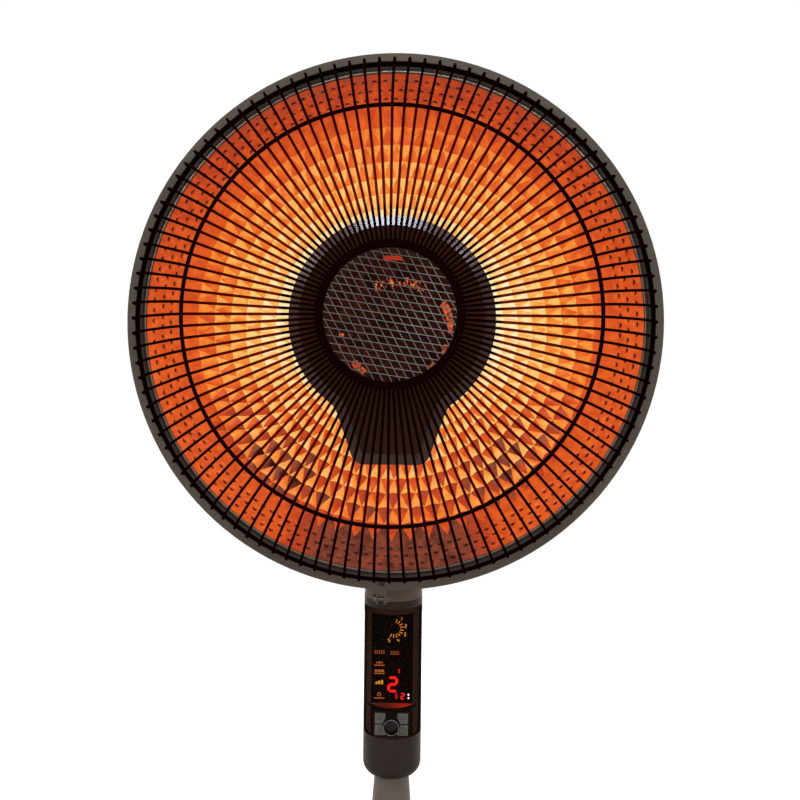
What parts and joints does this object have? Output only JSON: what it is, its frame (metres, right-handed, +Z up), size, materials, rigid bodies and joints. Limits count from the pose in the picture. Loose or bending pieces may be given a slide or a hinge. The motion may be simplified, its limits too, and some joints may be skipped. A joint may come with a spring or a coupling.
{
  "type": "radiant dish heater",
  "caption": "Stand heater shaped like a pedestal fan: a ring lamp behind a keyhole shield lights a faceted dish behind a domed wire guard, on a tilting, swinging neck.",
  "frame": {"origin": "middle of the base's underside, on the floor", "axes": "+Z up along the column, the front of the dish faces -Y, +X to the right seen from the front"},
  "size_m": [0.44, 0.34, 0.9199],
  "materials": {
    "shell": "satin grey-taupe moulding",
    "polished_dish": "polished and pressed with facets",
    "guard_wire": "dark brown-black enamel",
    "mesh_metal": "bare expanded sheet",
    "shield_paint": "dark brown heat-proof paint",
    "quartz": "clear",
    "filament": "glowing strand",
    "ceramic": "unglazed",
    "plated_steel": "zinc plated",
    "cast_grey": "grey enamel",
    "neck_plastic": "pale beige-grey moulding",
    "collar_plastic": "dark taupe moulding",
    "cap_plastic": "taupe moulding",
    "smoked_lens": "smoked clear",
    "bezel_plastic": "grey moulding",
    "key_plastic": "grey key caps",
    "button_black": "black gloss",
    "board_black": "black",
    "board_green": "circuit board",
    "gear_plastic": "natural acetal",
    "pole_plastic": "pale beige-grey moulding",
    "plate_steel": "black enamel",
    "cast_iron": "rough",
    "foot_rubber": "matt"
  },
  "bodies": {
    "stand": {"swing_bush": "gear_plastic", "swing_collar": "collar_plastic", "swing_motor": "plated_steel", "column_back": "cap_plastic", "display_lens": "smoked_lens", "display_board": "board_black", "key_bezel": "bezel_plastic", "key_board": "board_green", "column_cap": "cap_plastic", "pole": "pole_plastic", "pole_nut": "plated_steel", "base_cover": "pole_plastic", "base_plate": "plate_steel", "ballast": "cast_iron", "feet": "foot_rubber", "cord_gland": "board_black", "power_board": "board_green", "tip_switch": "board_black"},
    "neck": {"tilt_yoke": "cast_grey", "tilt_washers": "gear_plastic", "tilt_pin": "plated_steel", "tilt_nut": "plated_steel", "neck_front": "neck_plastic", "neck_rear": "neck_plastic", "swing_shaft": "plated_steel", "swing_gear": "gear_plastic"},
    "head": {"dish_shell": "shell", "reflector": "polished_dish", "clamp_band": "shell", "clamp_screw": "plated_steel", "clamp_nut": "plated_steel", "guard_spokes": "guard_wire", "guard_outer_ring": "guard_wire", "guard_mid_ring": "guard_wire", "guard_hub_ring": "guard_wire", "guard_mesh": "mesh_metal", "lamp_shield": "shield_paint", "lamp_tube": "quartz", "lamp_filament": "filament", "lamp_ends": "ceramic", "lamp_bracket": "plated_steel", "lamp_clips": "plated_steel", "shield_stays": "plated_steel", "rear_cover": "shell", "terminal_block": "board_black", "thermal_cutout": "plated_steel", "tilt_knuckle": "cast_grey"},
    "pinion": {"motor_pinion": "gear_plastic"},
    "key_upper_left": {"key_upper_left": "key_plastic"},
    "key_lower_left": {"key_lower_left": "key_plastic"},
    "key_upper_right": {"key_upper_right": "key_plastic"},
    "key_lower_right": {"key_lower_right": "key_plastic"},
    "power_button": {"power_button": "button_black"}
  },
  "joints": [
    {"name": "head_swing", "type": "hinge", "parent": "stand", "child": "neck", "pos_m": [0, 0, 0.4578], "axis": [0, 0, 1], "range_deg": [-35, 35]},
    {"name": "head_tilt", "type": "hinge", "parent": "neck", "child": "head", "pos_m": [0, 0.056, 0.59], "axis": [-1, 0, 0], "range_deg": [-10, 20]},
    {"name": "pinion_turn", "type": "hinge", "parent": "stand", "child": "pinion", "pos_m": [0, 0.015, 0.4452], "axis": [0, 0, 1], "range_deg": [-53, 53]},
    {"name": "key_upper_left_press", "type": "slide", "parent": "stand", "child": "key_upper_left", "axis": [0, 1, 0], "range_m": [0, 0.0008], "stiffness_N_per_m": 400},
    {"name": "key_lower_left_press", "type": "slide", "parent": "stand", "child": "key_lower_left", "axis": [0, 1, 0], "range_m": [0, 0.0008], "stiffness_N_per_m": 400},
    {"name": "key_upper_right_press", "type": "slide", "parent": "stand", "child": "key_upper_right", "axis": [0, 1, 0], "range_m": [0, 0.0008], "stiffness_N_per_m": 400},
    {"name": "key_lower_right_press", "type": "slide", "parent": "stand", "child": "key_lower_right", "axis": [0, 1, 0], "range_m": [0, 0.0008], "stiffness_N_per_m": 400},
    {"name": "power_button_press", "type": "slide", "parent": "stand", "child": "power_button", "axis": [0, 1, 0], "range_m": [0, 0.0008], "stiffness_N_per_m": 400}
  ],
  "couplings": [
    {"joint": "pinion_turn", "follows": "head_swing", "ratio": -1.5}
  ]
}
